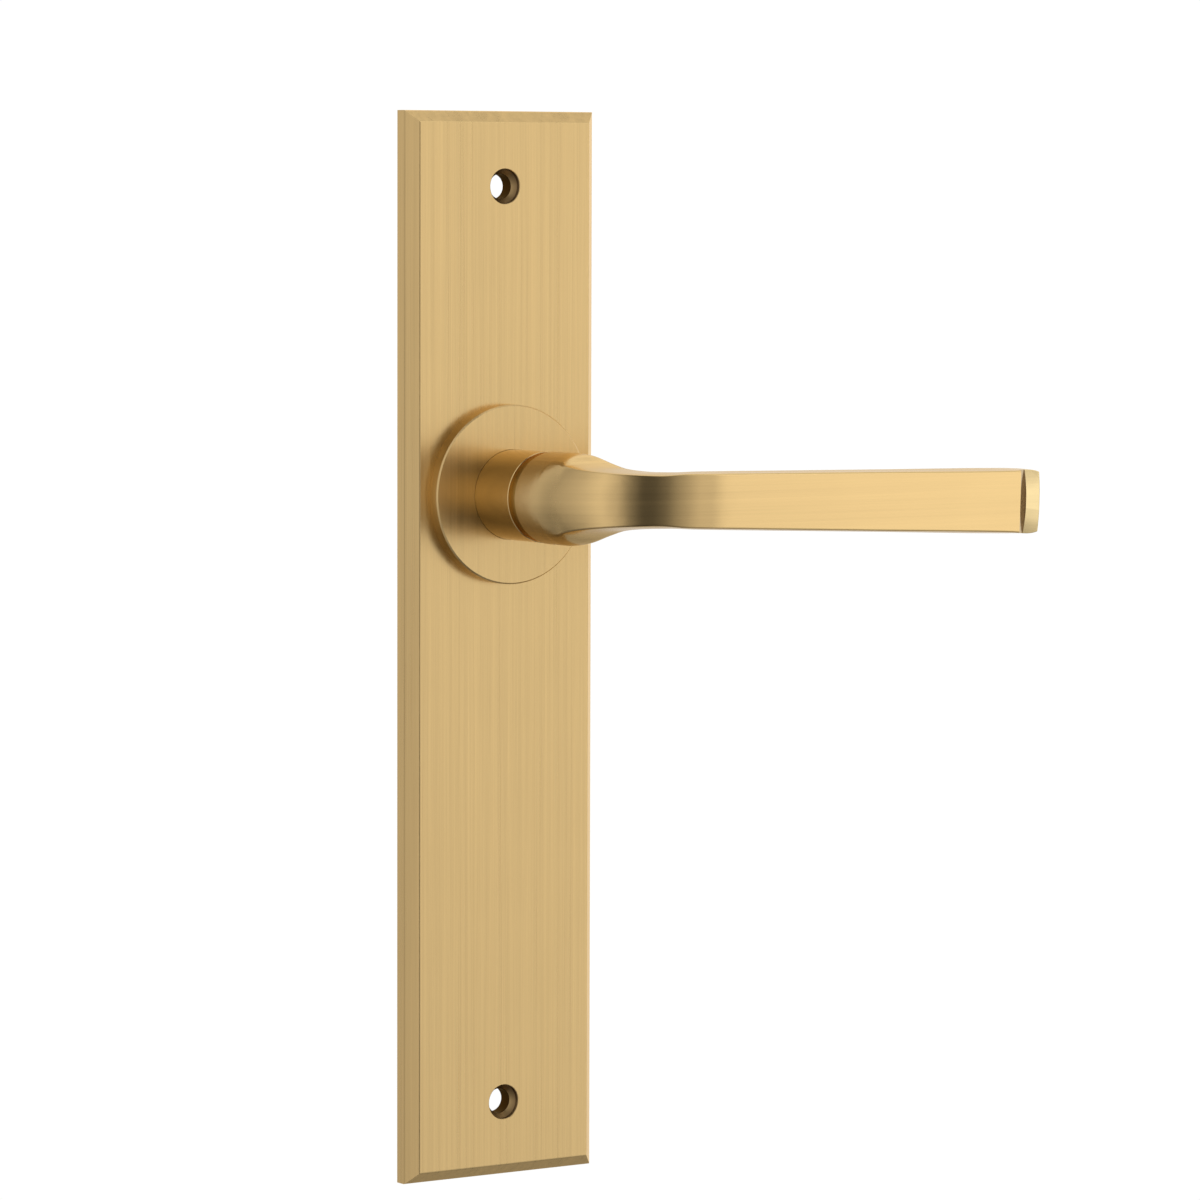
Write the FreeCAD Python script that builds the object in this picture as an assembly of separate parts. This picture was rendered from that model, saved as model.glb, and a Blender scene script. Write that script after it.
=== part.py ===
import FreeCAD, Part
import math
import os

from FreeCAD import Placement, Rotation, Vector

# Lever handle lockset, one outside half set for a latch door: a long backplate with a raised disc,
# a neck and a lever pointing right, with its return spring cassette, spindle and small parts.
# Frame: origin on the spindle axis in the plane of the door face. +X towards the lever tip,
# +Y into the door (the handle faces -Y), +Z up. Millimetres.
# Names ending in _F and _B are the front (-Y) and back (+Y) ends of a part.

os.makedirs("parts", exist_ok=True)

# ---------------------------------------------------------------- shared dimensions
PLATE_H, PLATE_W, PLATE_T = 240.0, 50.0, 5.4    # backplate
SPINDLE_UP = 34.4                               # spindle axis above the plate's middle
ROSE_R, ROSE_T = 20.1, 3.4                      # raised disc round the spindle
COVER_R = 20.0                                  # rear counterbore for the cassette cover

COLLAR_R, COLLAR_F = 10.15, -22.25              # fixed neck collar
NECK_R, NECK_B = 10.3, -25.3                    # lever neck, starting behind at NECK_B

SHANK_R, SHANK_B = 7.0, -0.8                    # round shank behind the neck
SHANK_GAP = 0.04                                # clearance of the parts that sit on the shank
FLAT = 6.3                                      # flats of the shank, from the axis
BUSH_BORE_R, BUSH_R = SHANK_R + 0.05, 8.0
SPINDLE_SQ, SPINDLE_F, SPINDLE_B = 7.95, -33.5, 28.0
SPINDLE_HALF = SPINDLE_SQ / 2
GRUB_Y, GRUB_R = -29.5, 2.5
LEAF_W, LEAF_T = 2.6, 0.3                       # leaf spring beside the spindle
LEAF_F, LEAF_B = -20.0, -3.0

REST_DROOP = 1.65                               # degrees the lever hangs below square
FULL_TURN = 45.0                                # degrees from square down to the lower stop


# ---------------------------------------------------------------- helpers
def cyl(radius, y0, y1, x=0.0, z=0.0):
    return Part.makeCylinder(radius, y1 - y0, Vector(x, y0, z), Vector(0, 1, 0))


def ring(outer_r, inner_r, y0, y1):
    return cyl(outer_r, y0, y1).cut(cyl(inner_r, y0 - 1, y1 + 1))


def cone(r0, y0, r1, y1, z=0.0):
    return Part.makeCone(r0, r1, y1 - y0, Vector(0, y0, z), Vector(0, 1, 0))


def block(x0, x1, y0, y1, z0, z1):
    return Part.makeBox(x1 - x0, y1 - y0, z1 - z0, Vector(x0, y0, z0))


def polygon_face(points):
    return Part.Face(Part.makePolygon(points + [points[0]]))


def at_angle(radius, degrees):
    """Polar place (x, z) about the spindle; the angle grows the way the lever turns down."""
    angle = math.radians(degrees)
    return radius * math.cos(angle), -radius * math.sin(angle)


def half_angle(half_width, radius):
    """Degrees that a half width takes up at this radius."""
    return math.degrees(math.asin(half_width / radius))


def at_rest(shape):
    """Turns a part built square to its place at rest."""
    droop = Placement(Vector(0, 0, 0), Rotation(Vector(0, 1, 0), REST_DROOP))
    result = shape.copy()
    result.Placement = droop.multiply(result.Placement)
    return result


def clean(shape):
    result = shape.removeSplitter()
    if result.ShapeType != "Solid" and len(result.Solids) == 1:
        result = result.Solids[0]
    return result


def try_fillet(shape, radius, pick):
    """Fillets the picked edges, or returns the shape itself when no size works."""
    edges = [e for e in shape.Edges if pick(e)]
    for r in (radius, radius * 0.8, radius * 0.6):
        # the kernel may refuse a fillet of this size
        try:
            result = shape.makeFillet(r, edges)
            if result.isValid() and result.Solids:
                return result
        except Exception:
            pass
    return shape


def try_chamfer(shape, size, pick):
    """Chamfers the picked edges, or returns the shape itself when that fails."""
    edges = [e for e in shape.Edges if pick(e)]
    # the kernel may refuse the chamfer
    try:
        result = shape.makeChamfer(size, edges)
        if result.isValid() and result.Solids:
            return result
    except Exception:
        pass
    return shape


def circle_edge(radius, y, z=0.0, tol=0.02):
    """Picks round edges of this radius, centred on x = 0 at this depth and height."""
    def pick(edge):
        curve = edge.Curve
        return (
            isinstance(curve, Part.Circle)
            and abs(curve.Radius - radius) < tol
            and abs(curve.Center.y - y) < tol
            and abs(curve.Center.x) < tol
            and abs(curve.Center.z - z) < tol
        )
    return pick


def edge_at_depth(y):
    """Picks edges that lie wholly at this depth."""
    return lambda e: abs(e.BoundBox.YMin - y) < 1e-4 and abs(e.BoundBox.YMax - y) < 1e-4


# ---------------------------------------------------------------- backplate
BEVEL = 2.5                                     # 45 degree bevel round the front
CREASE_R, SIDE_R = 0.55, 0.7                    # soft front and side edges of the bevel
SHELL_WALL, POCKET_D = 3.0, 2.7                 # hollow back
CASSETTE_BOSS_R, SCREW_BOSS_R = 22.4, 7.5
RIB_HALF, RIB_HEIGHTS = 1.5, (-54.0, -96.0, 46.0)
BORE_R, COVER_POCKET_D = 18.4, 1.9              # cassette bore, depth of the rear counterbore
HOLE_SPACING = 206.4                            # wood screw holes, centre to centre
HOLE_R = 2.8
HOLE_RIM_R, HOLE_RIM_D = 3.88, 1.1              # short straight rim in front of the cone
HOLE_RIM_CHAMFER = 0.15


def make_backplate():
    half_w = PLATE_W / 2
    top = PLATE_H / 2 - SPINDLE_UP
    bottom = -PLATE_H / 2 - SPINDLE_UP
    hole_heights = (-SPINDLE_UP + HOLE_SPACING / 2, -SPINDLE_UP - HOLE_SPACING / 2)

    plate = block(-half_w, half_w, -PLATE_T, 0, bottom, top)
    front_rim = edge_at_depth(-PLATE_T)
    plate = plate.makeChamfer(BEVEL, [e for e in plate.Edges if front_rim(e)])
    plate = try_fillet(plate, CREASE_R, front_rim)
    plate = try_fillet(plate, SIDE_R, edge_at_depth(-PLATE_T + BEVEL))

    # hollow back with a solid rim, a boss for the cassette, a boss for each screw and ribs
    pocket = block(-half_w + SHELL_WALL, half_w - SHELL_WALL, -POCKET_D, 1,
                   bottom + SHELL_WALL, top - SHELL_WALL)
    keep_f, keep_b = -POCKET_D - 1, 1.5
    pocket = pocket.cut(cyl(CASSETTE_BOSS_R, keep_f, keep_b))
    for z in hole_heights:
        pocket = pocket.cut(cyl(SCREW_BOSS_R, keep_f, keep_b, 0, z))
    for z in RIB_HEIGHTS:
        pocket = pocket.cut(block(-half_w, half_w, keep_f, keep_b, z - RIB_HALF, z + RIB_HALF))
    plate = plate.cut(pocket)
    plate = plate.cut(cyl(BORE_R, -PLATE_T - 1, 1)).cut(cyl(COVER_R, -COVER_POCKET_D, 1))

    # countersunk screw holes
    cone_f = -PLATE_T + HOLE_RIM_D
    cone_b = cone_f + (HOLE_RIM_R - HOLE_R)
    for z in hole_heights:
        plate = plate.cut(cyl(HOLE_RIM_R, -PLATE_T - 1, cone_f, 0, z))
        plate = plate.cut(cone(HOLE_RIM_R, cone_f, HOLE_R, cone_b, z))
        plate = plate.cut(cyl(HOLE_R, -PLATE_T, 1, 0, z))
        plate = try_chamfer(plate, HOLE_RIM_CHAMFER, circle_edge(HOLE_RIM_R, -PLATE_T, z))
    return clean(plate)


# ---------------------------------------------------------------- rose disc and neck collar
ROSE_F = -PLATE_T - ROSE_T
RECESS_R, RECESS_F = 13.2, -7.4                 # recess behind the disc for the collar's flange
ROSE_CHAMFER, COLLAR_CHAMFER = 0.3, 0.12
SCREW_PITCH_R, SCREW_ANGLES = 16.75, (30.0, 130.0, 270.0)
SCREW_PLACES = [at_angle(SCREW_PITCH_R, a) for a in SCREW_ANGLES]
SCREW_TAP_R, SCREW_TAP_D = 1.0, 2.4             # blind holes in the back of the disc
FLANGE_R, FLANGE_F, FLANGE_B = 13.1, -7.35, -6.35
KEY_R, KEY_PLACE = 0.8, at_angle(FLANGE_R, 200.0)
ANCHOR_R, ANCHOR_B = 0.45, -5.42
ANCHOR_PITCH_R, ANCHOR_ANGLE = 12.45, 95.0
ANCHOR_PLACE = at_angle(ANCHOR_PITCH_R, ANCHOR_ANGLE)


def key_hole():
    return cyl(KEY_R + 0.01, FLANGE_F - 0.05, 0, *KEY_PLACE)


def make_rose_disc():
    rose = cyl(ROSE_R, ROSE_F, -PLATE_T).cut(cyl(COLLAR_R + 0.05, ROSE_F - 1, 0))
    rose = rose.cut(cyl(RECESS_R, RECESS_F, 0))
    rose = try_chamfer(rose, ROSE_CHAMFER, circle_edge(ROSE_R, ROSE_F))
    for x, z in SCREW_PLACES:
        rose = rose.cut(cyl(SCREW_TAP_R, -PLATE_T - SCREW_TAP_D, 0, x, z))
    return clean(rose.cut(key_hole()))


def make_neck_collar():
    """A tube with a flange trapped behind the disc."""
    collar = cyl(COLLAR_R, COLLAR_F, FLANGE_B).fuse(cyl(FLANGE_R, FLANGE_F, FLANGE_B))
    collar = clean(collar.cut(cyl(BUSH_R + 0.02, COLLAR_F - 1, 0)))
    collar = try_chamfer(collar, COLLAR_CHAMFER, circle_edge(COLLAR_R, COLLAR_F))
    collar = collar.cut(key_hole())
    return clean(collar.cut(cyl(ANCHOR_R + 0.01, FLANGE_F - 0.1, 0, *ANCHOR_PLACE)))


def make_collar_key():
    """Pin that stops the collar turning in the disc."""
    return cyl(KEY_R, FLANGE_F, FLANGE_B, *KEY_PLACE)


def make_anchor_pin():
    """Pin for the return spring's fixed leg."""
    return cyl(ANCHOR_R, FLANGE_F, ANCHOR_B, *ANCHOR_PLACE)


# ---------------------------------------------------------------- nylon bush and thrust ring
BUSH_FLANGE_R, BUSH_FLANGE_F, BUSH_FLANGE_B = 9.6, -6.3, -4.4
THRUST_RING_R = 9.2                             # seen in the gap between collar and neck


def make_neck_bush():
    tube = ring(BUSH_R, BUSH_BORE_R, COLLAR_F + 0.1, BUSH_FLANGE_F)
    return clean(tube.fuse(ring(BUSH_FLANGE_R, BUSH_BORE_R, BUSH_FLANGE_F, BUSH_FLANGE_B)))


def make_thrust_ring():
    return clean(ring(THRUST_RING_R, BUSH_BORE_R, NECK_B + 0.02, COLLAR_F))


# ---------------------------------------------------------------- spring cassette
COVER_F, COVER_B, COVER_BORE_R = -1.9, -0.9, 9.3
HOUSE_F, HOUSE_B = -5.35, -1.95
HOUSE_R, HOUSE_IN = 18.3, 15.2
FLOOR_IN, FLOOR_T = 12.3, 0.6
SCREW_CLEAR_R = 1.1
SCREW_R, SCREW_F = 0.98, -PLATE_T - 2.2
HEAD_R, HEAD_B = 1.9, -0.12
SLOT_HALF, SLOT_F = 0.25, -0.5
CAM_ARM_HALF = 12.0                             # half angle of the cam's arm, in degrees
STOP_R, STOP_PITCH_R = 1.2, 13.6
STOP_HALF = half_angle(STOP_R + 0.12, STOP_PITCH_R)
STOP_PLACES = [
    at_angle(STOP_PITCH_R, 180.0 + CAM_ARM_HALF + FULL_TURN + STOP_HALF),   # lever fully down
    at_angle(STOP_PITCH_R, 180.0 - CAM_ARM_HALF - STOP_HALF),               # lever square
]


def make_cassette_housing():
    housing = ring(HOUSE_R, HOUSE_IN, HOUSE_F, HOUSE_B)
    housing = housing.fuse(ring(HOUSE_IN + 0.5, FLOOR_IN, HOUSE_F, HOUSE_F + FLOOR_T))
    for x, z in SCREW_PLACES:
        housing = housing.cut(cyl(SCREW_CLEAR_R, HOUSE_F - 1, 0, x, z))
    for x, z in STOP_PLACES:
        housing = housing.cut(cyl(STOP_R + 0.01, HOUSE_F - 1, HOUSE_F + FLOOR_T + 0.2, x, z))
    return clean(housing)


def make_cassette_cover():
    cover = ring(COVER_R - 0.1, COVER_BORE_R, COVER_F, COVER_B)
    for x, z in SCREW_PLACES:
        cover = cover.cut(cyl(SCREW_CLEAR_R, COVER_F - 1, 0, x, z))
    return clean(cover)


def make_stop_pins():
    return Part.makeCompound([cyl(STOP_R, HOUSE_F, HOUSE_B - 0.1, x, z) for x, z in STOP_PLACES])


def make_cassette_screws():
    screws = []
    for x, z in SCREW_PLACES:
        screw = cyl(SCREW_R, SCREW_F, COVER_B, x, z)
        screw = screw.fuse(cyl(HEAD_R, COVER_B + 0.01, HEAD_B, x, z))
        # short core that joins shank and head
        screw = screw.fuse(cyl(SCREW_R, -2, COVER_B + 0.3, x, z))
        screw = screw.cut(block(x - 3, x + 3, SLOT_F, 1, z - SLOT_HALF, z + SLOT_HALF))
        screws.append(clean(screw))
    return Part.makeCompound(screws)


# ---------------------------------------------------------------- return spring
WIRE_R, COIL_R = 0.42, 11.2
COIL_F, COIL_B = -5.83, -3.93                   # wire centre at the first and last points
LEG_GAP = 0.05                                  # between a leg and what it bears on
FIXED_LEG_R, MOVING_LEG_R = 12.95, 14.2         # how far out the legs reach
TAB_CONTACT_R = 13.4                            # where the moving leg bears on the cam's tab
TAB_HALF_W = 1.0
COIL_POINTS, COIL_SWEEPS, SWEEP_POINTS = 96, 12, 8


def make_return_spring():
    """A coil of nearly two turns, from the fixed leg at the front to the moving leg at the back."""
    start_angle = ANCHOR_ANGLE - half_angle(ANCHOR_R + WIRE_R + LEG_GAP, ANCHOR_PITCH_R)
    # the moving leg lies on the side of the tab that leads when the lever turns down
    end_angle = REST_DROOP + half_angle(TAB_HALF_W + WIRE_R + LEG_GAP, TAB_CONTACT_R)
    total = (end_angle - start_angle) % 360.0 + 360.0
    coil = []
    for i in range(COIL_POINTS + 1):
        share = i / COIL_POINTS
        x, z = at_angle(COIL_R, start_angle + total * share)
        coil.append(Vector(x, COIL_F + (COIL_B - COIL_F) * share, z))

    # swept in short pieces so that each sweep stays simple; a ball closes each joint
    path = Part.BSplineCurve()
    path.interpolate(coil)
    first, last = path.FirstParameter, path.LastParameter
    pieces = []
    for j in range(COIL_SWEEPS):
        low = first + (last - first) * j / COIL_SWEEPS
        high = first + (last - first) * (j + 1) / COIL_SWEEPS
        segment = Part.BSplineCurve()
        segment.interpolate(
            [path.value(low + (high - low) * i / SWEEP_POINTS) for i in range(SWEEP_POINTS + 1)]
        )
        start = segment.value(segment.FirstParameter)
        tangent = segment.tangent(segment.FirstParameter)[0]
        profile = Part.Wire([Part.Circle(start, tangent, WIRE_R).toShape()])
        pieces.append(Part.Wire([segment.toShape()]).makePipeShell([profile], True, False))
        if j:
            pieces.append(joint_ball(start))

    legs, balls = [], []
    for root, y, reach, angle in (
        (coil[0], COIL_F, FIXED_LEG_R, start_angle),
        (coil[-1], COIL_B, MOVING_LEG_R, end_angle),
    ):
        x, z = at_angle(reach, angle)
        leg = Vector(x, y, z) - root
        legs.append(Part.makeCylinder(WIRE_R, leg.Length, root, leg))
        balls.append(joint_ball(root))
    return clean(pieces[0].fuse(pieces[1:] + legs + balls))


def joint_ball(centre):
    return Part.makeSphere(WIRE_R * 1.0005, centre)


# ---------------------------------------------------------------- rings and cam on the shank
WASHER_R, WASHER_IN = 9.4, 7.15
WASHER_F, WASHER_B = -4.35, -3.45
CAM_R, CAM_ARM_R, CAM_F, CAM_B = 10.2, 14.7, -3.4, -2.25
TAB_R, TAB_LIP_R, TAB_LIP_F = 14.6, 12.75, -4.6     # the lip stands forward at the tab's end
SHIM_R, SHIM_B = 9.0, -1.95
CLIP_R, CLIP_IN, CLIP_F, CLIP_B = 8.7, 6.5, -1.93, -1.23
CLIP_GAP_HALF = 1.9
CLIP_EYE_R, CLIP_EYE_X, CLIP_EYE_Z = 0.55, 3.1, 7.0


def make_spring_washer():
    """A dished washer, its outline of (radius, y) turned about the spindle axis."""
    outline = [
        (WASHER_IN, WASHER_F + 0.5),
        (WASHER_R, WASHER_F),
        (WASHER_R, WASHER_F + 0.35),
        (WASHER_IN, WASHER_B - 0.05),
    ]
    face = polygon_face([Vector(r, y, 0) for r, y in outline])
    return face.revolve(Vector(0, 0, 0), Vector(0, 1, 0), 360)


def make_drive_cam():
    cam = cyl(CAM_R, CAM_F, CAM_B)
    # stop arm on the side away from the lever
    wedge_points = [Vector(0, CAM_F, 0)]
    for angle in (180 - CAM_ARM_HALF, 180, 180 + CAM_ARM_HALF):
        x, z = at_angle(30, angle)
        wedge_points.append(Vector(x, CAM_F, z))
    wedge = polygon_face(wedge_points).extrude(Vector(0, CAM_B - CAM_F, 0))
    cam = cam.fuse(ring(CAM_ARM_R, 8.0, CAM_F, CAM_B).common(wedge))
    # tab for the spring's moving leg
    cam = cam.fuse(block(8.0, TAB_R, CAM_F, CAM_B, -TAB_HALF_W - 0.6, TAB_HALF_W))
    cam = cam.fuse(block(TAB_LIP_R, TAB_R, TAB_LIP_F, CAM_B, -TAB_HALF_W, TAB_HALF_W))
    bore_flat = FLAT + SHANK_GAP
    bore = cyl(SHANK_R + SHANK_GAP, -10, 1).common(block(-bore_flat, bore_flat, -11, 2, -20, 20))
    return at_rest(clean(cam.cut(bore)))


def make_shim_washer():
    return ring(SHIM_R, SHANK_R + SHANK_GAP, CAM_B + 0.02, SHIM_B)


def make_circlip():
    clip = ring(CLIP_R, CLIP_IN, CLIP_F, CLIP_B)
    clip = clip.cut(block(-CLIP_GAP_HALF, CLIP_GAP_HALF, -5, 2, 5.0, 12.0))
    for x in (-CLIP_EYE_X, CLIP_EYE_X):
        clip = clip.cut(cyl(CLIP_EYE_R, -5, 2, x, CLIP_EYE_Z))
    return at_rest(clean(clip))


# ---------------------------------------------------------------- spindle, leaf spring, grub screw
SPINDLE_EDGE_CHAMFER, SPINDLE_END_CHAMFER = 0.5, 0.6
LEAF_GAP, LEAF_BOW = 0.02, 0.28                 # gap beside the spindle, height of the bow
GRUB_TOP, GRUB_BOTTOM = -SPINDLE_HALF - 0.02, -SPINDLE_HALF - 5.2
GRUB_TIP_H = 0.5
HEX_CORNER_R = 1.25 / math.cos(math.pi / 6)     # hexagon socket, 2.5 across flats


def make_spindle():
    half = SPINDLE_HALF
    spindle = block(-half, half, SPINDLE_F, SPINDLE_B, -half, half)
    spindle = try_chamfer(spindle, SPINDLE_EDGE_CHAMFER, lambda e: e.BoundBox.YLength > 5)
    spindle = try_chamfer(spindle, SPINDLE_END_CHAMFER,
                          lambda e: abs(e.BoundBox.YMin - SPINDLE_B) < 1e-4)
    # conical hollow in the front end
    spindle = spindle.cut(cone(2.2, SPINDLE_F - 1, 0.01, SPINDLE_F + 1.2))
    # shallow dimple under the grub screw
    dimple = Part.makeCone(0.05, 1.6, 1.55, Vector(0, GRUB_Y, -half + 0.7), Vector(0, 0, -1))
    return at_rest(clean(spindle.cut(dimple)))


def make_leaf_spring():
    """A bowed strip on the +X side of the spindle, its middle nearest the spindle."""
    mid_x = SPINDLE_HALF + LEAF_GAP + 0.02
    end_x = SPINDLE_HALF + LEAF_GAP + 0.02 + LEAF_BOW
    mid_y = (LEAF_F + LEAF_B) / 2
    near = [Vector(end_x, LEAF_F, 0), Vector(mid_x, mid_y, 0), Vector(end_x, LEAF_B, 0)]
    far = [p + Vector(LEAF_T, 0, 0) for p in reversed(near)]
    outline = Part.Wire([
        Part.Arc(*near).toShape(),
        Part.makeLine(near[2], far[0]),
        Part.Arc(*far).toShape(),
        Part.makeLine(far[2], near[0]),
    ])
    leaf = Part.Face(outline).extrude(Vector(0, 0, LEAF_W))
    leaf.translate(Vector(0, 0, -LEAF_W / 2))
    return at_rest(leaf)


def make_grub_screw():
    radius = GRUB_R - 0.03
    tip_z = GRUB_TOP - GRUB_TIP_H
    grub = Part.makeCylinder(radius, tip_z - GRUB_BOTTOM, Vector(0, GRUB_Y, GRUB_BOTTOM))
    grub = grub.fuse(Part.makeCone(radius, 1.5, GRUB_TIP_H, Vector(0, GRUB_Y, tip_z)))
    corners = []
    for i in range(6):
        angle = math.radians(60 * i)
        x, y = HEX_CORNER_R * math.cos(angle), HEX_CORNER_R * math.sin(angle)
        corners.append(Vector(x, GRUB_Y + y, GRUB_BOTTOM - 1))
    return at_rest(clean(grub.cut(polygon_face(corners).extrude(Vector(0, 0, 3.2)))))


# ---------------------------------------------------------------- lever: plan curves
# The round neck, the elbow and the tapering arm lie between an outer and an inner plan curve.
# A curve is a list of (x, y) at equal steps; a place on it is given as a length from its start.
FACE_Y, TIP_X = -55.0, 113.45                   # front face of the arm, its tip
ARM_X0 = 24.0                                   # where the arm's straight taper starts
ARM_T0, ARM_T1 = 7.8, 6.8                       # arm thickness at ARM_X0 and at the tip
BEND_R, TIGHT_R, INNER_R = 40.0, 7.0, 12.0      # outside of the elbow (two radii), inside
TIGHT_ANGLE, BEND_ANGLE = math.radians(32.0), math.radians(58.0)
RUN_IN, RUN_OUT = 12.0, 120.0                   # straight lengths before and after the bend
STEP, SMOOTH = 0.05, 5.0                        # step, and length the curvature is averaged over


def smoothed_curvatures(pieces):
    """Running mean of the curvature at each step, from pieces of (length, curvature)."""
    raw = []
    for length, curvature in pieces:
        raw += [curvature] * max(1, int(round(length / STEP)))
    sums = [0.0]
    for curvature in raw:
        sums.append(sums[-1] + curvature)
    half = int(round(SMOOTH / STEP / 2))
    means = []
    for i in range(len(raw)):
        low, high = max(0, i - half), min(len(raw), i + half + 1)
        means.append((sums[high] - sums[low]) / (high - low))
    return means


def trace(bends):
    """Plan curve from the origin, heading along -Y and bending towards +X."""
    x = y = heading = 0.0
    points = [(x, y)]
    for curvature in smoothed_curvatures([(RUN_IN, 0.0)] + bends + [(RUN_OUT, 0.0)]):
        heading += curvature * STEP / 2
        x += math.sin(heading) * STEP
        y -= math.cos(heading) * STEP
        heading += curvature * STEP / 2
        points.append((x, y))
    return points


def moved(curve, dx, dy):
    return [(x + dx, y + dy) for x, y in curve]


def plan_curves():
    outer = trace([(TIGHT_R * TIGHT_ANGLE, 1 / TIGHT_R), (BEND_R * BEND_ANGLE, 1 / BEND_R)])
    outer = moved(outer, -NECK_R, FACE_Y - outer[-1][1])
    taper = math.atan2(ARM_T0 - ARM_T1, TIP_X - ARM_X0)
    inner = trace([(INNER_R * (math.pi / 2 + taper), 1 / INNER_R)])
    inner = moved(inner, NECK_R, 0.0)
    # the inner curve passes the tip at the tip's thickness
    tip = min(inner, key=lambda p: abs(p[0] - TIP_X))
    return outer, moved(inner, 0.0, FACE_Y + ARM_T1 - tip[1])


def straight_to(curve, y):
    """Length to depth y measured as if the curve ran straight; negative behind its start."""
    return curve[0][1] - y


def length_to_y(curve, y):
    if y > curve[1][1]:
        return straight_to(curve, y)
    return min(range(len(curve) // 2), key=lambda i: abs(curve[i][1] - y)) * STEP


def length_to_x(curve, x):
    indices = range(int(8.0 / STEP), len(curve))
    return min(indices, key=lambda i: abs(curve[i][0] - x)) * STEP


def point_on(curve, length):
    """Point at this length; a negative length lies on the straight run behind the start."""
    if length < 0:
        return curve[0][0], curve[0][1] - length
    steps = length / STEP
    i = min(len(curve) - 2, int(math.floor(steps)))
    share = steps - i
    (x0, y0), (x1, y1) = curve[i], curve[i + 1]
    return x0 + (x1 - x0) * share, y0 + (y1 - y0) * share


# ---------------------------------------------------------------- lever: cross-sections
# A section is a closed loop of eight conic edges. Its upper half has nine poles, from the middle
# of the front to the middle of the back: even ones are middle poles, odd ones are joints.
SPLITS = (-46.0, 46.0, 54.0, 95.0, 135.0, 225.0)    # joint angles on the round neck, from the front
WEIGHTS = [math.cos(math.radians((b - a) / 2)) for a, b in zip(SPLITS, SPLITS[1:])]
ARM_H0, ARM_H1 = 6.29, 7.46                     # arm half height at HEIGHT_X0 and HEIGHT_X1
HEIGHT_X0, HEIGHT_X1 = 11.0, 107.0
ARM_UP = 0.66                                   # the arm's middle line above the neck's
EDGE_H = 0.80                                   # front face edge to the arm's full half height
CORNER = 0.42                                   # size of the arm's front corner


def round_poles():
    """Upper half of the round section: (share of thickness from the front, share of half height)."""
    poles = []
    for low, high, weight in zip(SPLITS, SPLITS[1:], WEIGHTS):
        for degrees, radius in (((low + high) / 2, 1 / weight), (high, 1.0)):
            angle = math.radians(degrees)
            poles.append(((1.0 - radius * math.cos(angle)) / 2, radius * math.sin(angle)))
    return poles[:-1]


def bar_poles(half_h, front_h, thick):
    """Upper half of the bar section, in the same shares."""
    return [
        (0.0, 0.0),
        (0.0, front_h / half_h),
        (0.0, (front_h + CORNER * 0.9) / half_h),
        (CORNER / thick, (front_h + CORNER * 1.02) / half_h),
        (2.6 / thick, (front_h + 0.5 * (half_h - front_h + CORNER)) / half_h),
        (1 - 2.0 / thick, 1.0),
        (1.0, 1.03),
        (1.0, (half_h - 2.2) / half_h),
        (1.0, 0.0),
    ]


def section(half_h, front_h, flatness, thick):
    """All 16 poles as (share of thickness, height); flatness 0 is round and 1 is the bar."""
    half = [
        ((1 - flatness) * r[0] + flatness * b[0], half_h * ((1 - flatness) * r[1] + flatness * b[1]))
        for r, b in zip(round_poles(), bar_poles(half_h, front_h, thick))
    ]
    # the front strip's edge follows its own height
    if flatness > 0:
        scale = front_h / half[1][1]
        for i, factor in ((1, scale), (2, scale), (3, 1 + (scale - 1) * 0.7)):
            half[i] = (half[i][0], half[i][1] * factor)
    return half + [(share, -z) for share, z in reversed(half[1:-1])]


def lever_stations(outer, inner):
    """Rows of: length on the outer curve, length on the inner curve, half height,
    front strip half height, flatness, rise of the middle line."""
    def out_x(x):
        return length_to_x(outer, x)

    def in_x(x):
        return length_to_x(inner, x)

    neck_front = NECK_R * math.sin(math.radians(SPLITS[1]))
    rows = [
        (straight_to(outer, NECK_B), straight_to(inner, NECK_B), NECK_R, neck_front, 0.0, 0.0),
        (straight_to(outer, -29.0), straight_to(inner, -29.0), NECK_R, neck_front, 0.0, 0.0),
        (straight_to(outer, -33.0), straight_to(inner, -32.0), NECK_R, neck_front + 0.1, 0.0, 0.04),
        (length_to_y(outer, -36.5), straight_to(inner, -34.5),
         NECK_R - 0.42, neck_front + 0.2, 0.12, 0.12),
        (out_x(-7.2), length_to_y(inner, -37.4), 8.2, 6.85, 0.55, 0.2),
        (out_x(-2.4), length_to_y(inner, -40.4), 6.85, 5.85, 0.85, 0.32),
        (out_x(3.6), in_x(14.4), 6.25, 5.32, 0.97, 0.45),
        (out_x(9.9), in_x(17.4), 6.2, 5.15, 1.0, 0.56),
    ]
    # tapering arm: outer x, inner x, rise
    for x, inner_x, rise in ((16.7, 21.0, 0.64), (ARM_X0, 25.5, ARM_UP),
                             (40.0, 40.5, ARM_UP), (70.0, 70.2, ARM_UP)):
        half_h = ARM_H0 + (ARM_H1 - ARM_H0) * (x - HEIGHT_X0) / (HEIGHT_X1 - HEIGHT_X0)
        rows.append((out_x(x), in_x(inner_x), half_h, half_h - EDGE_H, 1.0, rise))
    # end of the arm: x, drop of the half height, drop of the front strip's half height
    for x, drop, front_drop in ((107.3, 0.0, EDGE_H), (109.3, 0.04, 0.62),
                                (112.2, 0.16, 0.68), (TIP_X, 0.72, 1.1)):
        rows.append((out_x(x), in_x(x), ARM_H1 - drop, ARM_H1 - front_drop, 1.0, ARM_UP))
    return rows


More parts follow.
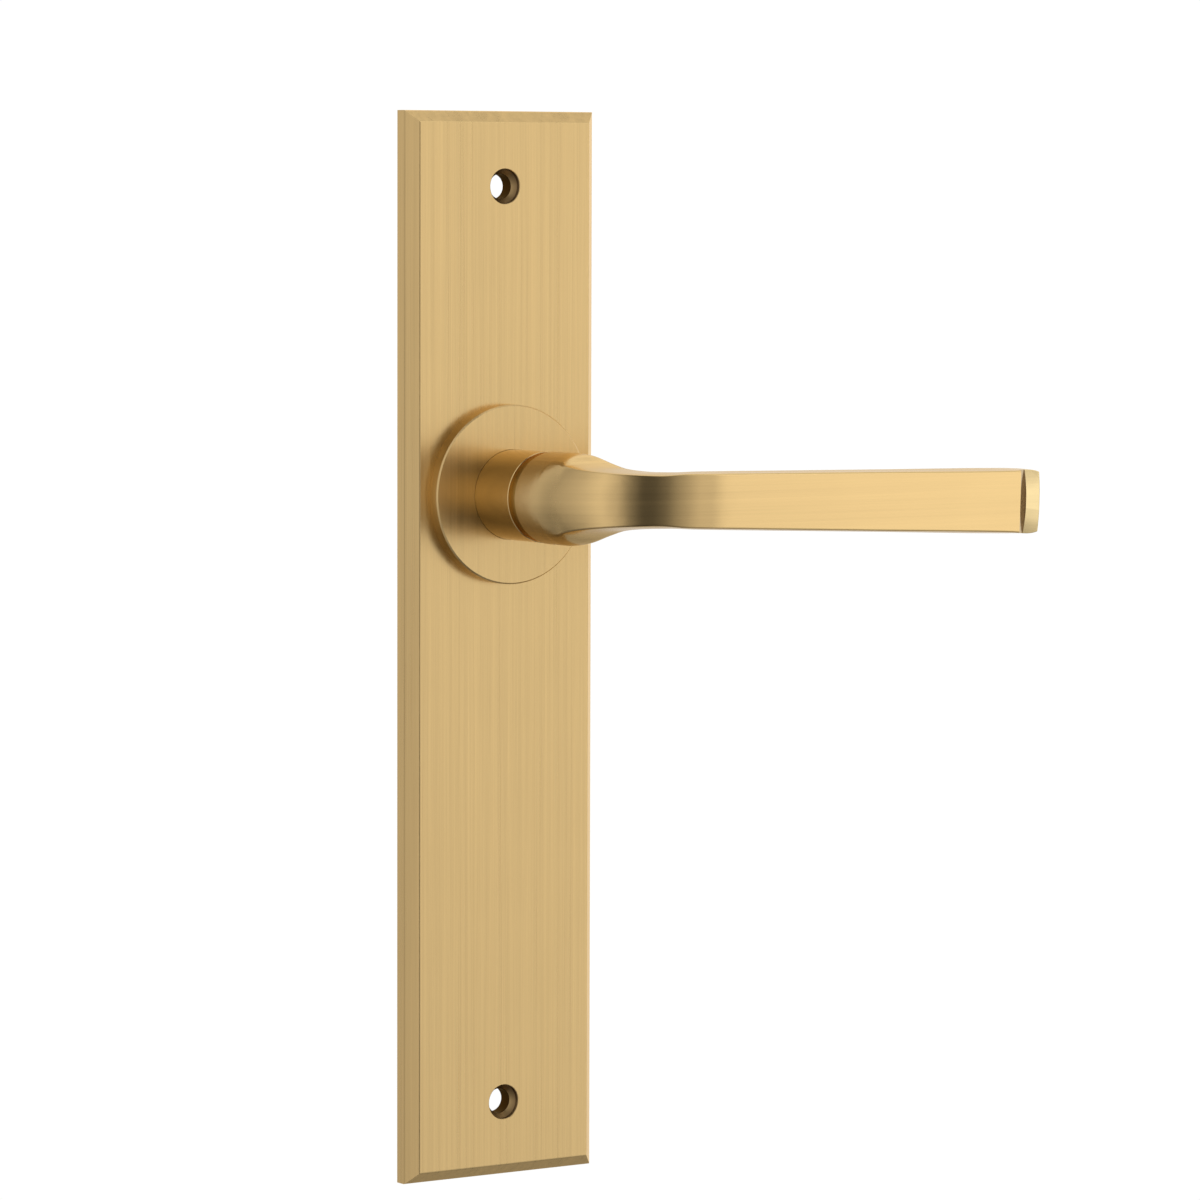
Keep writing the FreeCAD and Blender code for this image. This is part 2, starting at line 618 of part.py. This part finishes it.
def monotone_cubic(params, values, t):
    """Monotone cubic through the listed values."""
    n = len(params)
    gaps = [params[i + 1] - params[i] for i in range(n - 1)]
    slopes = [(values[i + 1] - values[i]) / gaps[i] for i in range(n - 1)]
    tangents = [0.0] * n
    tangents[0], tangents[-1] = slopes[0], slopes[-1]
    for i in range(1, n - 1):
        if slopes[i - 1] * slopes[i] > 0:
            w1 = 2 * gaps[i] + gaps[i - 1]
            w2 = gaps[i] + 2 * gaps[i - 1]
            tangents[i] = (w1 + w2) / (w1 / slopes[i - 1] + w2 / slopes[i])
    i = next((i for i in range(n - 2) if t <= params[i + 1]), n - 2)
    u = (t - params[i]) / gaps[i]
    return (
        (2 * u**3 - 3 * u**2 + 1) * values[i]
        + (u**3 - 2 * u**2 + u) * gaps[i] * tangents[i]
        + (-2 * u**3 + 3 * u**2) * values[i + 1]
        + (u**3 - u**2) * gaps[i] * tangents[i + 1]
    )


def station_params(outer, inner, stations):
    """Chord length along the middle line at each station."""
    mids = []
    for row in stations:
        a, b = point_on(outer, row[0]), point_on(inner, row[1])
        mids.append(((a[0] + b[0]) / 2, (a[1] + b[1]) / 2))
    params = [0.0]
    for a, b in zip(mids, mids[1:]):
        params.append(params[-1] + math.hypot(b[0] - a[0], b[1] - a[1]))
    return params


def section_params(params, count=72, elbow_count=60, min_gap=0.35):
    """Even spacing over the whole lever plus more sections through the elbow, thinned."""
    even = [params[0] + (params[-1] - params[0]) * i / count for i in range(count + 1)]
    elbow = [params[1] + (params[9] - params[1]) * i / elbow_count for i in range(elbow_count + 1)]
    spaced = sorted(even + elbow)
    kept = [spaced[0]]
    for t in spaced[1:]:
        if t - kept[-1] > min_gap:
            kept.append(t)
    if params[-1] - kept[-1] < min_gap:
        kept[-1] = params[-1]
    return kept


def lever_skin():
    """Solid of eight rational strips along the lever and two end caps."""
    outer, inner = plan_curves()
    stations = lever_stations(outer, inner)
    params = station_params(outer, inner, stations)
    places = section_params(params)
    columns = list(zip(*stations))
    lines = [[] for _ in range(16)]
    for t in places:
        out_s, in_s, half_h, front_h, flatness, rise = (
            monotone_cubic(params, column, t) for column in columns
        )
        a, b = point_on(outer, out_s), point_on(inner, in_s)
        thick = math.hypot(b[0] - a[0], b[1] - a[1])
        for line, (share, z) in zip(lines, section(half_h, front_h, flatness, thick)):
            line.append(Vector(a[0] + (b[0] - a[0]) * share, a[1] + (b[1] - a[1]) * share, rise + z))

    poles = []
    for line in lines:
        curve = Part.BSplineCurve()
        curve.interpolate(Points=line, Parameters=places)
        poles.append(curve.getPoles())
    knots, mults = curve.getKnots(), curve.getMultiplicities()

    faces, start_cap, end_cap = [], [], []
    for strip in range(8):
        middle = 2 * strip
        grid = [poles[middle - 1], poles[middle], poles[middle + 1]]
        weights = [1.0, WEIGHTS[min(strip, 8 - strip)], 1.0]
        surface = Part.BSplineSurface()
        surface.buildFromPolesMultsKnots(
            grid, [3, 3], mults, [0.0, 1.0], knots, False, False, 2, 3,
            [[w] * len(grid[0]) for w in weights],
        )
        faces.append(surface.toShape())
        for cap, end in ((start_cap, 0), (end_cap, -1)):
            edge = Part.BSplineCurve()
            edge.buildFromPolesMultsKnots([row[end] for row in grid], [3, 3], [0.0, 1.0],
                                          False, 2, weights)
            cap.append(edge.toShape())
    for cap in (start_cap, end_cap):
        faces.append(Part.Face(Part.Wire(cap)))
    shell = Part.makeShell(faces)
    shell.sewShape()
    body = Part.makeSolid(shell.Shells[0] if shell.ShapeType != "Shell" else shell)
    if body.Volume < 0:
        body.reverse()
    return body


# ---------------------------------------------------------------- lever: tip, shank and socket
GROOVE_X0, GROOVE_X1, GROOVE_D = 107.8, 109.45, 1.15    # groove across the front near the tip
CROWN_R0, CROWN_R1 = 27.0, 62.0                 # crowned front, at the groove and at the tip
CROWN_HALF = 12.0
SOCKET_SQ, SOCKET_F = SPINDLE_SQ + 0.1, -34.0
SHANK_CHAMFER, CLIP_GROOVE_R = 0.4, 6.45
TIP_FILLET = 0.3


def crown_wire(x, radius):
    sag = radius - math.sqrt(radius**2 - CROWN_HALF**2)
    low, high, back = ARM_UP - CROWN_HALF, ARM_UP + CROWN_HALF, FACE_Y + 9
    a, b = Vector(x, FACE_Y + sag, low), Vector(x, FACE_Y + sag, high)
    c, d = Vector(x, back, high), Vector(x, back, low)
    arc = Part.Arc(a, Vector(x, FACE_Y, ARM_UP), b).toShape()
    return Part.Wire([arc, Part.makeLine(b, c), Part.makeLine(c, d), Part.makeLine(d, a)])


def make_shank():
    shank = cyl(SHANK_R, NECK_B - 0.5, SHANK_B)
    shank = try_chamfer(shank, SHANK_CHAMFER, circle_edge(SHANK_R, SHANK_B))
    flats_f = CAM_F - 0.06
    flats = block(-20, -FLAT, flats_f, 1, -20, 20).fuse(block(FLAT, 20, flats_f, 1, -20, 20))
    shank = shank.cut(flats)
    return shank.cut(ring(12, CLIP_GROOVE_R, CLIP_F - 0.02, CLIP_B + 0.02))


def at_tip(edge):
    box = edge.BoundBox
    return box.XMin > TIP_X - 0.04 and box.XMax < TIP_X + 0.02 and edge.Length > 0.05


def make_lever():
    body = lever_skin()
    body = body.cut(block(GROOVE_X0, GROOVE_X1, FACE_Y - 5, FACE_Y + GROOVE_D, -20, 20))
    crown = Part.makeLoft(
        [crown_wire(GROOVE_X1 - 0.01, CROWN_R0), crown_wire(TIP_X + 0.5, CROWN_R1)], True, True
    )
    body = body.cut(block(GROOVE_X1, TIP_X + 0.4, FACE_Y - 5, FACE_Y + 3, -11, 11).cut(crown))

    body = body.fuse(make_shank())
    half = SOCKET_SQ / 2
    body = body.cut(block(-half, half, SOCKET_F, 2, -half, half))
    body = body.cut(Part.makeCylinder(GRUB_R, 12, Vector(0, GRUB_Y, -12)))
    # recess for the leaf spring
    recess_half = LEAF_W / 2 + 0.1
    body = body.cut(block(half - 0.5, SPINDLE_HALF + 0.72, LEAF_F - 0.3, LEAF_B + 0.3,
                          -recess_half, recess_half))
    lever = clean(body)

    rounded = try_fillet(lever, TIP_FILLET, at_tip)
    if rounded is not lever:
        return at_rest(rounded)
    # when the whole rim can't be rounded, its front and back edges are tried separately
    for low, high in ((FACE_Y - 0.1, FACE_Y + 1.3), (FACE_Y + 3.5, FACE_Y + 12.0)):
        lever = try_fillet(
            lever, TIP_FILLET,
            lambda e: at_tip(e) and e.BoundBox.YMin > low and e.BoundBox.YMax < high,
        )
    return at_rest(lever)


# ---------------------------------------------------------------- write
PARTS = {
    "backplate": make_backplate,
    "rose_disc": make_rose_disc,
    "neck_collar": make_neck_collar,
    "collar_key": make_collar_key,
    "anchor_pin": make_anchor_pin,
    "neck_bush": make_neck_bush,
    "thrust_ring": make_thrust_ring,
    "cassette_housing": make_cassette_housing,
    "cassette_cover": make_cassette_cover,
    "stop_pins": make_stop_pins,
    "cassette_screws": make_cassette_screws,
    "return_spring": make_return_spring,
    "spring_washer": make_spring_washer,
    "drive_cam": make_drive_cam,
    "shim_washer": make_shim_washer,
    "circlip": make_circlip,
    "spindle": make_spindle,
    "spindle_leaf_spring": make_leaf_spring,
    "grub_screw": make_grub_screw,
    "lever": make_lever,
}
for name, make in PARTS.items():
    make().exportStep("parts/%s.step" % name)
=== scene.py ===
# A brass lever door handle on a tall backplate, in a light tent. The spindle axis is the Y axis,
# the lever reaches out along +X, the front faces -Y and Z is up. Lengths are in metres.
import math
import bpy
from mathutils import Matrix, Vector


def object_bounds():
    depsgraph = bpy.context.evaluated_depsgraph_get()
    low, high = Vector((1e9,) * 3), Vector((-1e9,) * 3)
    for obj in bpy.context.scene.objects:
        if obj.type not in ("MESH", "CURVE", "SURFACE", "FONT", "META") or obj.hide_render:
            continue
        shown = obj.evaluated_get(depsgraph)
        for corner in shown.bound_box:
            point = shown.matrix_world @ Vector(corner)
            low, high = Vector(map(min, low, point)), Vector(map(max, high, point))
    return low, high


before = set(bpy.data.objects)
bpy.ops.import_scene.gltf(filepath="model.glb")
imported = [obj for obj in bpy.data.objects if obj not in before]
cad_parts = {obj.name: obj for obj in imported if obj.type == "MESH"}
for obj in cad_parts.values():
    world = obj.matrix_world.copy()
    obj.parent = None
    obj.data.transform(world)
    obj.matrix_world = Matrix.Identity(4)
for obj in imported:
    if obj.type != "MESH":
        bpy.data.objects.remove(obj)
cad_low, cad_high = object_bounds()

scene = bpy.context.scene

# Screw holes through the backplate, one above and one below its middle
PLATE_MIDDLE_Z = -0.0344
HOLE_HALF_PITCH = 0.1032
BORE_RADIUS = 0.00286
SINK_RADIUS = 0.0039

# The arm hangs 1.65 degrees below level; distances run along it from the spindle axis
ARM_COS, ARM_SIN = 0.99959, 0.02879
GROOVE_START, GROOVE_END = 0.10779, 0.10946
GROOVE_FRONT_Y, GROOVE_BACK_Y = -0.05496, -0.0537

# The brushing on the lever fades in towards the front, between these two Y values
LEVER_FADE = (-0.0305, -0.0425)

FLOOR_SIZE = 14.0
FLOOR_GAP = 0.002           # below the lowest point of the handle
WHITE = (1.0, 1.0, 1.0)
BACKDROP_STRENGTH = 1.02    # what the camera sees of the floor and the world


# ------------------------------------------------------------------ node helpers
class Tree:
    """Builds a shader node tree. Values may be numbers, tuples or output sockets."""

    def __init__(self, node_tree):
        self.nodes = node_tree.nodes
        self.links = node_tree.links
        self.nodes.clear()

    def feed(self, socket, value):
        if isinstance(value, bpy.types.NodeSocket):
            self.links.new(value, socket)
        elif socket.type == "RGBA":
            socket.default_value = (*value, 1.0)
        else:
            socket.default_value = value

    def node(self, kind, inputs=None, **settings):
        """Add a node; inputs maps the name or number of each input to its value."""
        node = self.nodes.new(kind)
        for key, value in settings.items():
            setattr(node, key, value)
        for key, value in (inputs or {}).items():
            self.feed(node.inputs[key], value)
        return node

    def math(self, operation, *values, clamp=False):
        inputs = dict(enumerate(values))
        return self.node("ShaderNodeMath", inputs, operation=operation, use_clamp=clamp).outputs[0]

    def add(self, a, b):
        return self.math("ADD", a, b)

    def subtract(self, a, b):
        return self.math("SUBTRACT", a, b)

    def multiply(self, a, b, clamp=False):
        return self.math("MULTIPLY", a, b, clamp=clamp)

    def centred(self, value, gain):
        """Turn a 0 to 1 value into a swing about zero."""
        return self.multiply(self.subtract(value, 0.5), gain)

    def between(self, value, low, high):
        return self.multiply(self.math("GREATER_THAN", value, low),
                             self.math("LESS_THAN", value, high))

    def vector(self, operation, *values):
        node = self.node("ShaderNodeVectorMath", dict(enumerate(values)), operation=operation)
        return node.outputs["Value" if operation == "DOT_PRODUCT" else 0]

    def scale(self, vector, factor):
        inputs = {0: vector, "Scale": factor}
        return self.node("ShaderNodeVectorMath", inputs, operation="SCALE").outputs[0]

    def mix(self, factor, a, b, blend="MIX"):
        # inputs 0, 6 and 7 are the factor and the two colours
        node = self.node("ShaderNodeMix", data_type="RGBA", blend_type=blend, clamp_factor=True)
        for index, value in ((0, factor), (6, a), (7, b)):
            self.feed(node.inputs[index], value)
        return node.outputs[2]

    def ramp(self, factor, stops):
        """Colour ramp; each stop is (position, colour)."""
        node = self.node("ShaderNodeValToRGB", {0: factor})
        elements = node.color_ramp.elements
        while len(elements) > 1:
            elements.remove(elements[-1])
        for i, (position, colour) in enumerate(stops):
            element = elements[0] if i == 0 else elements.new(position)
            element.position = position
            element.color = (*colour, 1.0)
        return node.outputs[0]

    def noise(self, place, cells, detail, roughness, distortion=0.0):
        """Noise with the given number of cells per metre along X, Y and Z."""
        return self.node("ShaderNodeTexNoise", {
            "Vector": self.vector("MULTIPLY", place, cells),
            "Scale": 1.0,
            "Detail": detail,
            "Roughness": roughness,
            "Distortion": distortion,
        }).outputs[0]

    def bump(self, height, distance):
        inputs = {"Strength": 1.0, "Distance": distance, "Height": height}
        return self.node("ShaderNodeBump", inputs).outputs[0]

    def split_by_camera(self, output, unseen, seen):
        """Send one shader to the camera and the other to every other ray."""
        is_camera = self.node("ShaderNodeLightPath").outputs["Is Camera Ray"]
        inputs = {0: is_camera, 1: unseen.outputs[0], 2: seen.outputs[0]}
        self.feed(output.inputs[0], self.node("ShaderNodeMixShader", inputs).outputs[0])


def new_material(name):
    material = bpy.data.materials.new(name)
    material.use_nodes = True
    return material, Tree(material.node_tree)


def new_surface(name):
    """A material with a Principled shader; also returns the object coordinates."""
    material, tree = new_material(name)
    shader = tree.node("ShaderNodeBsdfPrincipled")
    tree.node("ShaderNodeOutputMaterial", {0: shader.outputs[0]})
    place = tree.node("ShaderNodeTexCoord").outputs["Object"]
    return material, tree, shader, place


def feed_all(tree, shader, inputs):
    for key, value in inputs.items():
        tree.feed(shader.inputs[key], value)


# ------------------------------------------------------------------ masks for painted shade and a painted highlight on the brass
def hole_distance(tree, x, z):
    """Distance to the axis of the nearer screw hole."""
    from_middle = tree.math("ABSOLUTE", tree.add(z, -PLATE_MIDDLE_Z))
    height = tree.subtract(from_middle, HOLE_HALF_PITCH)
    return tree.math("SQRT", tree.add(tree.multiply(x, x), tree.multiply(height, height)))


# painted shade: the bore of each screw hole is darkened, where little light reaches
def bore_painted_shade_mask(tree, x, y, z):
    inside = tree.math("LESS_THAN", hole_distance(tree, x, z), BORE_RADIUS)
    return tree.multiply(inside, tree.math("LESS_THAN", y, 0.0))


def sink_painted_shade_mask(tree, x, y, z):
    """Painted shade in the countersink, growing stronger outwards: 0.55, and 0.38 more per
    millimetre.
    """
    distance = hole_distance(tree, x, z)
    millimetres = tree.multiply(tree.subtract(distance, 0.0028), 1000.0)
    strength = tree.add(0.55, tree.multiply(millimetres, 0.38))
    return tree.multiply(tree.between(distance, BORE_RADIUS, SINK_RADIUS), strength, clamp=True)


def along_arm(tree, x, z):
    return tree.subtract(tree.multiply(x, ARM_COS), tree.multiply(z, ARM_SIN))


# painted shade: the groove across the lever near its tip is darkened and cooled
def groove_painted_shade_mask(tree, x, y, z):
    lengthwise = tree.between(along_arm(tree, x, z), GROOVE_START, GROOVE_END)
    return tree.multiply(lengthwise, tree.between(y, GROOVE_FRONT_Y, GROOVE_BACK_Y))


# painted highlight: the end of the lever beyond the groove is made paler and brighter
def end_painted_highlight_mask(tree, x, y, z):
    return tree.math("GREATER_THAN", along_arm(tree, x, z), GROOVE_END)


# ------------------------------------------------------------------ brass
def worn_and_highlit_edges(tree, normal, fine):
    """1 on sharp edges, broken up by the fine brushing; marks edges that are worn and given a
    painted highlight.
    """
    rounded = tree.node("ShaderNodeBevel", {"Radius": 0.0004}, samples=4).outputs[0]
    turn = tree.subtract(1.0, tree.vector("DOT_PRODUCT", rounded, normal))
    edges = tree.multiply(turn, 6.0, clamp=True)
    return tree.multiply(edges, tree.add(0.55, tree.multiply(fine, 0.6)), clamp=True)


def stretch_reflections(tree, shader, normal, across, amount):
    """Draw reflections out along the direction across, less where the surface faces it."""
    inputs = dict(enumerate(across))
    direction = tree.node("ShaderNodeCombineXYZ", inputs).outputs[0]
    facing = tree.vector("DOT_PRODUCT", normal, direction)
    in_surface = tree.vector("SUBTRACT", direction, tree.scale(normal, facing))
    # a tiny offset keeps the tangent from having no length
    in_surface = tree.vector("ADD", in_surface, (0.0011, 0.0007, 0.0009))
    sideways = tree.subtract(1.0, tree.multiply(facing, facing))
    feed_all(tree, shader, {
        "Tangent": tree.vector("NORMALIZE", in_surface),
        "Anisotropic": tree.multiply(sideways, amount, clamp=True),
    })


def brass(name, grain=(3200.0, 3200.0, 26.0), base=(0.80, 0.552, 0.238), roughness=0.30,
          anisotropy=0.5, across=(1.0, 0.0, 0.0), streak=0.17, depth=12e-6, fade=None, coat=0.4,
          zones=()):
    """Lacquered satin brass.

    grain: noise cells per metre along each axis, few along the brushing
    across: direction along which reflections are drawn out
    streak, depth: swing in tone and bump depth of the brushing
    fade: the Y values where the brushing starts to fade in and where it is full
    zones: (mask, tint, added roughness, lacquered) for places given painted shade or a painted
    highlight
    """
    material, tree, shader, place = new_surface(name)
    normal = tree.node("ShaderNodeNewGeometry").outputs["Normal"]
    if fade or zones:
        xyz = tree.node("ShaderNodeSeparateXYZ", {0: place}).outputs

    # three widths of brushing line, a slow cloud of tone and small dark specks
    fine = tree.noise(place, grain, detail=3.0, roughness=0.6)
    medium = tree.noise(place, tuple(g * 0.24 for g in grain), detail=2.0, roughness=0.5)
    broad = tree.noise(place, tuple(g * 0.07 for g in grain), detail=2.0, roughness=0.5)
    cloud = tree.noise(place, (55.0,) * 3, detail=3.0, roughness=0.5, distortion=0.3)
    speck = tree.noise(place, (1500.0,) * 3, detail=1.0, roughness=0.5)
    lines = tree.add(tree.centred(fine, 1.2), tree.centred(medium, 2.0))
    lines = tree.add(lines, tree.centred(broad, 1.1))
    if fade:
        start, full = fade
        faded_in = tree.multiply(tree.subtract(start, xyz[1]), 1.0 / (start - full), clamp=True)
        # a quarter of the brushing stays where it is faded out
        lines = tree.multiply(lines, tree.add(0.25, tree.multiply(faded_in, 0.75)))

    tone = tree.add(1.0, tree.multiply(lines, streak))
    tone = tree.add(tone, tree.centred(cloud, 0.05))
    dark = tree.multiply(tree.subtract(speck, 0.74), 8.0, clamp=True)
    tone = tree.subtract(tone, tree.multiply(dark, 0.05))

    # edges worn and given a painted highlight: a little brighter and smoother
    brushed = tree.scale(base, tone)
    wear_and_highlight = worn_and_highlit_edges(tree, normal, fine)
    rubbed_and_highlit = tuple(min(1.0, c * 1.12 + 0.05) for c in base)
    colour = tree.mix(tree.multiply(wear_and_highlight, 0.35), brushed, rubbed_and_highlit)
    rough = tree.add(roughness, tree.multiply(lines, 0.06))
    rough = tree.subtract(rough, tree.multiply(wear_and_highlight, 0.05))
    if fade:
        rough = tree.add(rough, tree.multiply(tree.subtract(1.0, faded_in), 0.20))

    if zones:
        added = 0.0
        lacquer = 1.0
        for make_mask, tint, rougher, lacquered in zones:
            mask = make_mask(tree, *xyz)
            if not lacquered:
                lacquer = tree.multiply(lacquer, tree.subtract(1.0, mask))
            colour = tree.mix(mask, colour, tree.vector("MULTIPLY", colour, tint))
            added = tree.add(added, tree.multiply(mask, rougher))
        rough = tree.add(rough, added)
        coat = tree.multiply(lacquer, coat)

    if anisotropy > 0:
        stretch_reflections(tree, shader, normal, across, anisotropy)
    feed_all(tree, shader, {
        "Base Color": colour,
        "Metallic": 1.0,
        "Roughness": tree.math("MINIMUM", rough, 0.9),
        "Coat Weight": coat,
        "Coat Roughness": 0.18,
        "Specular Tint": (1.0, 0.86, 0.60),
        "Normal": tree.bump(lines, depth),
    })
    return material


# ------------------------------------------------------------------ steel and nylon
def steel(name, base, roughness):
    """Plated or oiled steel with a fine cloudy surface."""
    material, tree, shader, place = new_surface(name)
    grit = tree.noise(place, (900.0,) * 3, detail=4.0, roughness=0.6)
    cloud = tree.noise(place, (150.0,) * 3, detail=3.0, roughness=0.55, distortion=0.6)
    mottling = 0.08     # swing in tone either way
    tone = tree.add(1.0 - mottling, tree.multiply(cloud, mottling * 2))
    feed_all(tree, shader, {
        "Base Color": tree.scale(base, tone),
        "Metallic": 1.0,
        "Roughness": tree.add(roughness, tree.centred(grit, 0.16)),
        "Normal": tree.bump(grit, 0.00001),
    })
    return material


def plastic(name, base, roughness):
    material, tree, shader, place = new_surface(name)
    grit = tree.noise(place, (700.0,) * 3, detail=3.0, roughness=0.6)
    feed_all(tree, shader, {
        "Base Color": tree.mix(grit, tuple(c * 0.93 for c in base), base),
        "Roughness": tree.add(roughness, tree.centred(grit, 0.2)),
        "Subsurface Weight": 0.05,
        "Normal": tree.bump(grit, 0.00002),
    })
    return material


# ------------------------------------------------------------------ materials and their pieces
def give(material, *pieces):
    for piece in pieces:
        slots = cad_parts[piece].data.materials
        slots.clear()
        slots.append(material)


# the plate's zones paint shade into the screw holes: dark down the bores, greyer in the
# countersinks
give(brass("brushed_brass_plate",
           zones=((bore_painted_shade_mask, (0.10, 0.055, 0.02), 0.3, False),
                  (sink_painted_shade_mask, (0.34, 0.31, 0.33), 0.1, False))),
     "backplate")
give(brass("brushed_brass_rose", grain=(2900.0, 2900.0, 40.0), roughness=0.31, streak=0.15),
     "rose_disc")
give(brass("brushed_brass_neck", grain=(60.0, 60.0, 2200.0), roughness=0.21, anisotropy=0.6,
           across=(0.0, 0.0, 1.0), streak=0.024, depth=2e-6),
     "neck_collar")
# the lever's zones paint shade into the groove near the tip and a highlight onto the end beyond it
give(brass("brushed_brass_lever", grain=(20.0, 20.0, 3300.0), roughness=0.19, anisotropy=0.75,
           across=(0.0, 0.0, 1.0), streak=0.12, depth=3e-6, fade=LEVER_FADE,
           zones=((groove_painted_shade_mask, (0.72, 0.80, 1.15), 0.1, True),
                  (end_painted_highlight_mask, (1.14, 1.27, 1.48), 0.05, True))),
     "lever")
# painted shade: a darker, more saturated brass for the ring stands in for the shade and coloured
# inter-reflection in the narrow gap between the collar and the lever neck
give(brass("gap_ring_painted_shade_brass", grain=(900.0,) * 3, base=(0.55, 0.34, 0.10), roughness=0.4,
           anisotropy=0.0, streak=0.06, depth=4e-6, coat=0.0),
     "thrust_ring")
give(steel("zinc_plated_steel", base=(0.62, 0.61, 0.58), roughness=0.32),
     "cassette_housing", "cassette_cover", "cassette_screws", "stop_pins", "collar_key",
     "anchor_pin", "spindle", "drive_cam", "shim_washer")
give(steel("oiled_spring_steel", base=(0.25, 0.25, 0.26), roughness=0.28),
     "return_spring", "spindle_leaf_spring", "grub_screw", "circlip", "spring_washer")
give(plastic("natural_nylon", base=(0.82, 0.80, 0.74), roughness=0.45),
     "neck_bush")


# ------------------------------------------------------------------ floor
def build_floor():
    """A floor only the camera sees; light from below passes through it."""
    height = cad_low.z - FLOOR_GAP
    bpy.ops.mesh.primitive_plane_add(size=FLOOR_SIZE, location=(0.0, 0.0, height))
    floor = bpy.context.active_object
    floor.name = "floor"
    material, tree = new_material("pale_floor")
    output = tree.node("ShaderNodeOutputMaterial")
    clear = tree.node("ShaderNodeBsdfTransparent")
    glow = tree.node("ShaderNodeEmission", {0: WHITE, 1: BACKDROP_STRENGTH})
    tree.split_by_camera(output, unseen=clear, seen=glow)
    floor.data.materials.append(material)


build_floor()

# ------------------------------------------------------------------ studio light
# Brightness around the tent: (degrees from the front, positive towards +X; brightness)
AROUND = [
    (-180, 0.68), (-120, 0.60), (-84, 0.46), (-62, 0.63), (-47, 0.89), (-36, 0.63),
    (-28, 0.26), (-20, 0.09), (-12, 0.10), (-4, 0.18), (4, 0.39), (12, 0.56),
    (19, 0.75), (25, 0.74), (30, 0.74), (34, 1.00), (38, 1.27), (43, 1.19),
    (52, 0.95), (66, 0.71), (90, 0.70), (122, 1.15), (148, 0.78), (180, 0.66),
]
# Brightness by height: (Z of the direction, from -1 straight down to 1 straight up; brightness)
BY_HEIGHT = [
    (-1, 0.30), (-0.85, 0.34), (-0.7, 0.46), (-0.4, 0.62), (-0.2, 0.84), (-0.08, 0.99),
    (0, 0.99), (0.08, 1.08), (0.2, 0.95), (0.4, 0.95), (0.7, 0.98), (1, 0.90),
]
# Tint around the tent, slightly cooler on the +X side: (degrees from the front, colour)
COOL = (0.97, 1.0, 1.0)
TINT = [(36, WHITE), (44, COOL), (70, COOL), (90, WHITE)]
HEADROOM = 2.0      # both brightness ramps are divided by this, and the strength makes up for it


def turn(degrees):
    """Ramp position of an angle around the tent."""
    return degrees / 360.0 + 0.5


def grey(brightness):
    return (brightness / HEADROOM,) * 3


def build_world():
    world = bpy.data.worlds.new("studio")
    scene.world = world
    world.use_nodes = True
    tree = Tree(world.node_tree)
    output = tree.node("ShaderNodeOutputWorld")
    direction = tree.node("ShaderNodeTexCoord").outputs["Generated"]
    x, y, z = tree.node("ShaderNodeSeparateXYZ", {0: direction}).outputs
    angle = tree.math("ARCTAN2", x, tree.multiply(y, -1.0))
    around = tree.add(tree.multiply(angle, 1.0 / (2 * math.pi)), 0.5)
    height = tree.add(tree.multiply(z, 0.5), 0.5)
    light = tree.mix(1.0, tree.ramp(around, [(turn(a), grey(b)) for a, b in AROUND]),
                     tree.ramp(height, [((h + 1) / 2, grey(b)) for h, b in BY_HEIGHT]),
                     blend="MULTIPLY")
    tint = tree.ramp(around, [(turn(a), colour) for a, colour in TINT])
    light = tree.mix(1.0, light, tint, blend="MULTIPLY")
    tent = tree.node("ShaderNodeBackground", {0: light, 1: HEADROOM ** 2})
    backdrop = tree.node("ShaderNodeBackground", {0: WHITE, 1: BACKDROP_STRENGTH})
    tree.split_by_camera(output, unseen=tent, seen=backdrop)


build_world()

# ------------------------------------------------------------------ camera
CAMERA_PLACE = Vector((-0.68905, -1.06904, 0.06744))
YAW = math.radians(33.846)      # from +Y towards +X
PITCH = math.radians(4.109)     # downwards
ROLL = math.radians(0.156)


def build_camera():
    level_forward = Vector((math.sin(YAW), math.cos(YAW), 0.0))
    level_right = Vector((math.cos(YAW), -math.sin(YAW), 0.0))
    vertical = Vector((0.0, 0.0, 1.0))
    forward = level_forward * math.cos(PITCH) - vertical * math.sin(PITCH)
    pitched_up = vertical * math.cos(PITCH) + level_forward * math.sin(PITCH)
    right = level_right * math.cos(ROLL) + pitched_up * math.sin(ROLL)
    up = pitched_up * math.cos(ROLL) - level_right * math.sin(ROLL)

    lens = bpy.data.cameras.new("camera")
    camera = bpy.data.objects.new("camera", lens)
    scene.collection.objects.link(camera)
    rotation = Matrix((right, up, -forward)).transposed()
    camera.matrix_world = Matrix.Translation(CAMERA_PLACE) @ rotation.to_4x4()
    lens.sensor_width = 36.0
    lens.lens = 169.686
    lens.shift_x = 0.00485
    lens.shift_y = -0.00079167
    lens.clip_start = 0.05
    lens.clip_end = 50.0
    scene.camera = camera


build_camera()
scene.view_settings.view_transform = "Standard"
scene.view_settings.look = "None"
